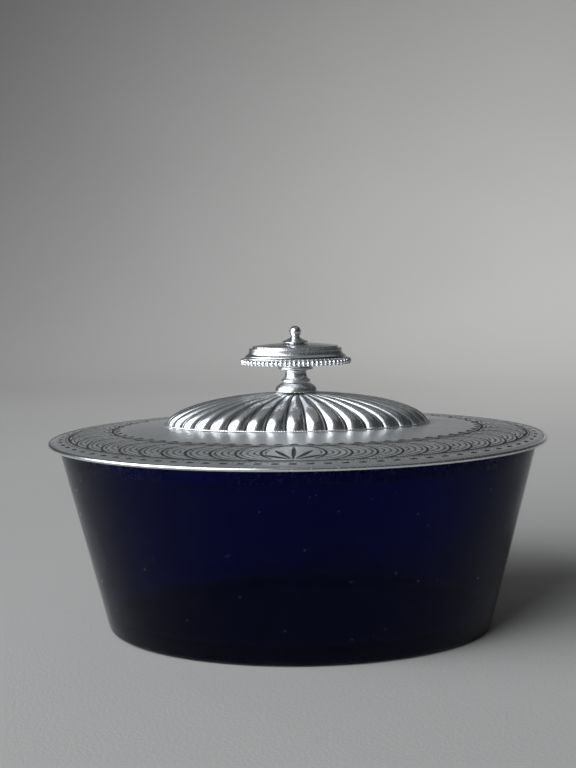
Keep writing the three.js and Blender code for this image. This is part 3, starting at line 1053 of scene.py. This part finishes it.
class SUGAR_OT_dome(bpy.types.Operator):
    """Make the gadrooned dome and the milled wire round its foot"""

    bl_idname = "sugar.dome"
    bl_label = "Dome"

    def execute(self, context):
        """An oval quarter-round whose skin is pressed in between convex lobes.

        At a share s across a lobe, 0 on its crest and 1 in the groove, the skin is let in along its
        normal by fullness times half the lobe's width times one less the root of one less s squared.
        """
        size = context.scene.sugar_dome
        height = DOME_CROWN - DOME_FOOT
        per_lobe = 18
        segments = size.lobes * per_lobe
        turn = lobe_turns(size, segments)
        crown = math.acos(size.hole_half_length / DOME_LENGTH)
        rise = crown * np.linspace(0, 1, 61) ** 1.15
        lift = height / math.sin(crown)
        outside = np.stack(
            [
                DOME_LENGTH * np.cos(rise),
                DOME_BREADTH * np.cos(rise),
                DOME_FOOT + lift * np.sin(rise),
            ],
            1,
        )
        grid = oval_grid(outside, turn)
        along = np.gradient(grid, axis=1)
        padded = np.concatenate([grid[-1:], grid, grid[:1]])
        across = (padded[2:] - padded[:-2]) / 2
        normal = np.cross(across, along)
        normal /= np.linalg.norm(normal, axis=2, keepdims=True)
        lobe_width = np.linalg.norm(across, axis=2) * per_lobe
        share = np.abs((np.arange(segments) / per_lobe + 0.5) % 1 - 0.5) * 2
        sunk = 1 - np.sqrt(1 - 0.98 * share**2)
        depth = size.fullness * lobe_width / 2 * sunk[:, None]
        let_in = grid - normal * depth[:, :, None]
        let_in[:, 0, 2] = DOME_FOOT
        inside_rise = crown * np.linspace(1, 0, 12)
        thin = size.thickness + 1.2 * MM
        inside = np.stack(
            [
                (DOME_LENGTH - thin) * np.cos(inside_rise),
                (DOME_BREADTH - thin) * np.cos(inside_rise),
                DOME_FOOT + (lift - size.thickness) * np.sin(inside_rise),
            ],
            1,
        )
        inside[0, :2] = (size.hole_half_length, size.hole_half_length * DOME_BREADTH / DOME_LENGTH)
        shell = np.concatenate([let_in, oval_grid(inside, turn)], 1)
        groove = np.zeros(shell.shape[:2])
        groove[:, : len(rise)] = (share**2)[:, None]
        piece = surface_mesh("lid_gadrooned_dome", shell, loops=True, masks={"groove": groove}, sharp=75)
        finish_piece(piece, "lid_dome", "lid", "plain_plate", finish="dome_plate")
        half_length, half_width, low, high = half_size("dome_bead_wire")
        radius = (high - low) / 2
        fine, tuck, drop = radius * 0.6, radius * 1.6, radius * 0.3
        wire = milled_wire(
            "dome_milled_wire",
            half_length - tuck,
            half_width - tuck,
            (low + high) / 2 - drop,
            fine,
            size.wire_beads,
            waist=0.55,
            steps=6,
            sides=8,
        )
        finish_piece(wire, "dome_bead_wire", "lid", "bright_wire")
        return {"FINISHED"}


# ---------------------------------------------------------------- the finial


def finial_outline(node, points):
    """A smooth outline from points of [share of the node's half length, share of its height]."""
    half_length, _, low, high = half_size(node)
    points = np.asarray(points, float)
    scaled = np.stack([points[:, 0] * half_length, low + points[:, 1] * (high - low)], 1)
    return smooth_profile(scaled, 6)


class SUGAR_OT_stem(bpy.types.Operator):
    """Make the finial's foot, neck and collar"""

    bl_idname = "sugar.stem"
    bl_label = "Finial stem"

    def execute(self, context):
        """Three turned oval pieces, stacked on the stud."""
        bore = context.scene.sugar_finial.bore
        outlines = {
            "finial_foot": [
                (0.985, 0.0), (1.0, 0.04), (1.0, 0.14), (0.985, 0.33), (0.945, 0.52), (0.86, 0.74),
                (0.76, 0.90), (0.71, 1.0),
            ],
            "finial_neck": [
                (0.95, 0.0), (0.99, 0.04), (1.0, 0.11), (0.995, 0.20), (0.955, 0.25), (0.87, 0.30),
                (0.80, 0.40), (0.755, 0.55), (0.725, 0.75), (0.72, 0.88), (0.75, 1.0),
            ],
            "finial_collar": [
                (0.90, 0.0), (0.97, 0.05), (1.0, 0.14), (1.0, 0.40), (0.97, 0.48), (0.90, 0.56),
                (0.88, 0.72), (0.88, 1.0),
            ],
        }
        for node, points in outlines.items():
            half_length, half_width = half_size(node)[:2]
            outline = finial_outline(node, points)
            piece = bored_oval(node + "_turned", outline, half_width / half_length, 96, bore, 60)
            finish_piece(piece, node, "lid", "plain_plate")
        return {"FINISHED"}


class SUGAR_OT_button(bpy.types.Operator):
    """Make the finial's disc, its beads, the cap and the knop"""

    bl_idname = "sugar.button"
    bl_label = "Finial button"

    def execute(self, context):
        """Two turned oval plates, round beads strung on a fine wire, and a small ball on a boss."""
        size = context.scene.sugar_finial
        outlines = {
            "finial_disc": (
                [
                    (0.385, 0.03), (0.60, 0.0), (0.80, 0.0), (0.91, 0.03), (0.935, 0.10),
                    (0.94, 0.55), (0.955, 0.72), (0.99, 0.78), (1.0, 0.86), (1.0, 0.94), (0.985, 1.0),
                ],
                size.bore,
            ),
            "finial_cap": (
                [
                    (1.0, 0.0), (0.99, 0.05), (0.96, 0.12), (0.93, 0.22), (0.917, 0.36),
                    (0.914, 0.55), (0.909, 0.61), (0.895, 0.63), (0.862, 0.638), (0.850, 0.65),
                    (0.848, 0.74), (0.840, 0.775), (0.80, 0.81), (0.60, 0.905), (0.42, 0.965),
                    (0.285, 1.0),
                ],
                2.7 * MM,
            ),
        }
        for node, (points, bore) in outlines.items():
            half_length, half_width = half_size(node)[:2]
            outline = finial_outline(node, points)
            piece = bored_oval(node + "_turned", outline, half_width / half_length, 192, bore, 50)
            finish_piece(piece, node, "lid", "plain_plate")
        self.beads(size)
        self.knop()
        return {"FINISHED"}

    def beads(self, size):
        """Each bead is a round ball of a few rings; they stand at even steps along the oval."""
        half_length, half_width, low, high = half_size("finial_bead_ring")
        height = (low + high) / 2
        radius = size.bead_radius
        place, _ = oval_walk(half_length - radius, half_width - radius, size.beads)
        polar = np.linspace(0, math.pi, 9)
        slim = np.sin(polar) * radius * 0.8
        profile = np.stack([slim, slim, -np.cos(polar) * radius * 1.1], 1)
        ball = surface_mesh("bead", oval_grid(profile, even_turns(14)), sharp=180)
        source = np.zeros(len(ball.data.vertices) * 3)
        ball.data.vertices.foreach_get("co", source)
        source = source.reshape(-1, 3)
        starts = np.zeros(len(ball.data.polygons), int)
        totals = np.zeros(len(ball.data.polygons), int)
        corners = np.zeros(len(ball.data.loops), int)
        ball.data.polygons.foreach_get("loop_start", starts)
        ball.data.polygons.foreach_get("loop_total", totals)
        ball.data.loops.foreach_get("vertex_index", corners)
        centres = np.column_stack([place, np.full(len(place), height)])
        points = (source[None] + centres[:, None]).reshape(-1, 3)
        shift = np.arange(size.beads)[:, None]
        mesh = bpy.data.meshes.new("finial_beads")
        mesh.vertices.add(len(points))
        mesh.vertices.foreach_set("co", points.astype(np.float32).ravel())
        mesh.loops.add(len(corners) * size.beads)
        all_corners = (corners[None] + shift * len(source)).ravel()
        mesh.loops.foreach_set("vertex_index", all_corners.astype(np.int32))
        mesh.polygons.add(len(starts) * size.beads)
        all_starts = (starts[None] + shift * len(corners)).ravel()
        mesh.polygons.foreach_set("loop_start", all_starts.astype(np.int32))
        mesh.polygons.foreach_set("use_smooth", np.ones(len(all_starts), bool))
        mesh.update(calc_edges=True)
        mesh.validate()
        bpy.data.objects.remove(ball)
        beads = bpy.data.objects.new("finial_beads", mesh)
        bpy.context.scene.collection.objects.link(beads)
        finish_piece(beads, "finial_bead_ring", "lid", "bright_wire")
        wire = milled_wire(
            "finial_bead_wire",
            half_length - radius,
            half_width - radius,
            height,
            size.bead_wire,
            size.beads,
            waist=1.0,
            steps=4,
            sides=8,
        )
        wire.data.materials.append(material_for("bright_wire"))
        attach(wire, "lid")

    def knop(self):
        """A profile turned round: socket, boss that sweeps up to a short neck, and a ball."""
        half_length, _, low, high = half_size("finial_knop")
        socket, bore = 2.4 * MM, 1.6 * MM
        ball = 1.8 * MM
        centre = high - ball
        neck = 1.2 * MM
        seat = high - 4.9 * MM
        turn = np.linspace(-math.acos(neck / ball), math.pi / 2, 18)
        top = np.stack([ball * np.cos(turn), centre + ball * np.sin(turn)], 1)
        top[-1, 0] = 0
        boss = smooth_profile(
            [
                (half_length * 0.97, seat),
                (half_length, seat + 0.12 * MM),
                (half_length * 0.95, seat + 0.35 * MM),
                (half_length * 0.72, seat + 0.70 * MM),
                (half_length * 0.50, seat + 1.10 * MM),
                (half_length * 0.37, seat + 1.45 * MM),
                (neck * 1.03, seat + 1.72 * MM),
            ],
            6,
        )
        ceiling = half_size("finial_stud")[3] + 0.3 * MM
        well = [(0.0, ceiling), (bore, ceiling), (bore, low), (socket, low), (socket, seat)]
        section = np.vstack([well, boss, top])
        profile = np.stack([section[:, 0], section[:, 0], section[:, 1]], 1)
        piece = surface_mesh("finial_knop_turned", oval_grid(profile, even_turns(64)), sharp=50)
        finish_piece(piece, "finial_knop", "lid", "plain_plate")


class SUGAR_OT_fixing(bpy.types.Operator):
    """Make the threaded stud, the washer and the nut inside the dome"""

    bl_idname = "sugar.fixing"
    bl_label = "Stud, washer and nut"

    def execute(self, context):
        """A thread is a saw-tooth of the height less the turn; a nut is a prism cut by a cone."""
        size = context.scene.sugar_finial
        self.stud(size)
        self.washer(size)
        self.nut(size)
        return {"FINISHED"}

    def stud(self, size):
        """Radius falls by the thread's depth between crests that climb one pitch a turn."""
        radius, _, low, high = half_size("finial_stud")
        around, along = 32, 330
        height = np.linspace(low, high, along)[None, :]
        turn = np.arange(around)[:, None] / around
        wave = np.abs(((height - low) / size.thread_pitch - turn) % 1 - 0.5) * 2
        fade = ease(height, low, low + 0.8 * MM) * (1 - ease(height, high - 0.8 * MM, high))
        ring = radius - size.thread_depth * (1 - wave * fade)
        x, y = ring * np.sin(TURN * turn), -ring * np.cos(TURN * turn)
        grid = np.stack([x, y, np.broadcast_to(height, x.shape)], 2)
        ends = [np.tile([[[0, 0, z]]], (around, 1, 1)) for z in (low, high)]
        piece = surface_mesh("finial_stud_threaded", np.concatenate([ends[0], grid, ends[1]], 1))
        finish_piece(piece, "finial_stud", "lid", "fixing_steel")

    def washer(self, size):
        """A flat ring with its corners broken."""
        radius, _, low, high = half_size("finial_washer")
        nip = 0.12 * MM
        outline = [
            (radius - nip, low), (radius, low + nip), (radius, high - nip), (radius - nip, high),
        ]
        piece = bored_oval("finial_washer_turned", outline, 1.0, 64, size.bore, 30)
        finish_piece(piece, "finial_washer", "lid", "fixing_steel")

    def nut(self, size):
        """Six flats, whose corners a cone takes off above and below."""
        flat, _, low, high = half_size("finial_nut")
        segments, chamfer = 96, 0.3 * MM
        turn = np.linspace(0, TURN, segments, endpoint=False) + TURN / 12
        hexagon = flat / np.cos((turn % (TURN / 6)) - TURN / 12)
        cone = flat * 1.02
        levels = np.array([low, low + chamfer, high - chamfer, high])
        limits = np.array([cone, flat * 1.2, flat * 1.2, cone])
        ring = np.minimum(hexagon[:, None], limits[None, :])
        angle = np.linspace(0, TURN, segments, endpoint=False)[:, None]
        bore = np.full((segments, 2), size.bore)
        ring = np.concatenate([ring, bore], 1)
        heights = np.concatenate([levels, [high, low]])
        x, y = ring * np.sin(angle), -ring * np.cos(angle)
        grid = np.stack([x, y, np.broadcast_to(heights, x.shape)], 2)
        piece = surface_mesh("finial_nut_hex", grid, loops=True, sharp=25)
        finish_piece(piece, "finial_nut", "lid", "fixing_steel")


# ---------------------------------------------------------------- the stage


class SUGAR_OT_stage(bpy.types.Operator):
    """Make the pale sweep, the lights and the camera"""

    bl_idname = "sugar.stage"
    bl_label = "Stage"

    def execute(self, context):
        """The sweep is a floor that turns up into a wall through a quarter circle."""
        self.sweep(context.scene.sugar_finish)
        self.lights(context.scene.sugar_finish.daylight)
        self.camera(context.scene.sugar_stage)
        return {"FINISHED"}

    def sweep(self, finish):
        """A strip of paper, wide in X, along a line in Y and Z."""
        back, bend, front, top, half = 1.1, 0.5, -1.6, 2.2, 2.4
        quarter = arc((back - bend, bend), bend, -90, 0, 24)
        line = np.vstack([[[front, 0.0]], quarter, [[back, top]]])
        x = np.linspace(-half, half, 9)
        grid = np.array([[(along, y, z) for y, z in line] for along in x])
        rows, columns = grid.shape[:2]
        index = np.arange(rows * columns).reshape(rows, columns)
        faces = np.stack([index[:-1, :-1], index[1:, :-1], index[1:, 1:], index[:-1, 1:]], 2)
        mesh = bpy.data.meshes.new("pale_sweep")
        mesh.from_pydata(grid.reshape(-1, 3).tolist(), [], faces.reshape(-1, 4).tolist())
        mesh.polygons.foreach_set("use_smooth", np.ones(len(mesh.polygons), bool))
        mesh.materials.append(paper_material(finish))
        sweep = bpy.data.objects.new("pale_sweep", mesh)
        bpy.context.scene.collection.objects.link(sweep)

    def lights(self, daylight):
        """A tall soft window at the left, a wash on the sweep behind, a faint ceiling, a dim room."""
        middle = Vector((0, 0, (CAD_LOW.z + CAD_HIGH.z) / 2))
        wall = Vector((0.24, 0.84, 0.0))
        self.panel("window", (-0.74, -0.50, 0.48), middle, size=(1.3, 1.0), power=7.8, spread=90)
        self.panel("wall wash", (0.34, 0.40, 0.85), wall, size=(0.3, 0.3), power=1.42, spread=95)
        self.panel("ceiling", (0.0, 0.0, 1.7), middle, size=(2.0, 2.0), power=1.9, spread=180)
        for name in ("window", "ceiling"):
            bpy.data.lights[name].color = daylight
        world = bpy.data.worlds.new("dim room")
        world.use_nodes = True
        back = world.node_tree.nodes["Background"]
        back.inputs["Color"].default_value = rgba(daylight)
        back.inputs["Strength"].default_value = 0.04
        bpy.context.scene.world = world
        bpy.context.scene.view_settings.view_transform = "Standard"

    def panel(self, name, place, target, size, power, spread):
        """A rectangular soft light that faces a point; its spread is in degrees."""
        light = bpy.data.lights.new(name, "AREA")
        light.shape = "RECTANGLE"
        light.size, light.size_y = size
        light.energy = power
        light.spread = math.radians(spread)
        lamp = bpy.data.objects.new(name, light)
        lamp.location = place
        lamp.rotation_euler = (target - Vector(place)).to_track_quat("-Z", "Y").to_euler()
        bpy.context.scene.collection.objects.link(lamp)

    def camera(self, stage):
        """The camera pans, tilts down and rolls about its own place."""
        data = bpy.data.cameras.new("camera")
        data.lens = stage.lens
        data.clip_start, data.clip_end = 0.01, 20.0
        camera = bpy.data.objects.new("camera", data)
        turned = Matrix.Rotation(stage.pan, 4, "Z") @ Matrix.Rotation(math.pi / 2 - stage.pitch, 4, "X")
        turned = turned @ Matrix.Rotation(stage.roll, 4, "Z")
        place = Vector((stage.camera_right, -stage.camera_back, stage.camera_up))
        camera.matrix_world = Matrix.Translation(place) @ turned
        bpy.context.scene.collection.objects.link(camera)
        bpy.context.scene.camera = camera


# ---------------------------------------------------------------- panel and registration


class SUGAR_PT_panel(bpy.types.Panel):
    """Lists the makers and their sizes"""

    bl_label = "Sugar Bowl"
    bl_space_type = "VIEW_3D"
    bl_region_type = "UI"
    bl_category = "Sugar Bowl"

    def draw(self, context):
        """One button for each maker, then each group of sizes."""
        for operator in OPERATORS:
            self.layout.operator(operator.bl_idname)
        for key, kind in GROUPS.items():
            box = self.layout.box()
            for size in kind.__annotations__:
                box.prop(getattr(context.scene, key), size)


OPERATORS = (
    SUGAR_OT_stage,
    SUGAR_OT_glass,
    SUGAR_OT_sheet,
    SUGAR_OT_edges,
    SUGAR_OT_dome,
    SUGAR_OT_stem,
    SUGAR_OT_button,
    SUGAR_OT_fixing,
)


def register():
    """Registers the classes and hangs the sizes on the scene."""
    for kind in (*GROUPS.values(), *OPERATORS, SUGAR_PT_panel):
        bpy.utils.register_class(kind)
    for key, kind in GROUPS.items():
        setattr(bpy.types.Scene, key, PointerProperty(type=kind))


def unregister():
    """Takes the sizes and the classes away again."""
    for key in GROUPS:
        delattr(bpy.types.Scene, key)
    for kind in reversed((*GROUPS.values(), *OPERATORS, SUGAR_PT_panel)):
        bpy.utils.unregister_class(kind)


def main():
    """Makes everything in order."""
    register()
    bpy.ops.sugar.stage()
    bpy.ops.sugar.glass()
    bpy.ops.sugar.sheet()
    bpy.ops.sugar.edges()
    bpy.ops.sugar.dome()
    bpy.ops.sugar.stem()
    bpy.ops.sugar.button()
    bpy.ops.sugar.fixing()


if __name__ == "__main__":
    main()
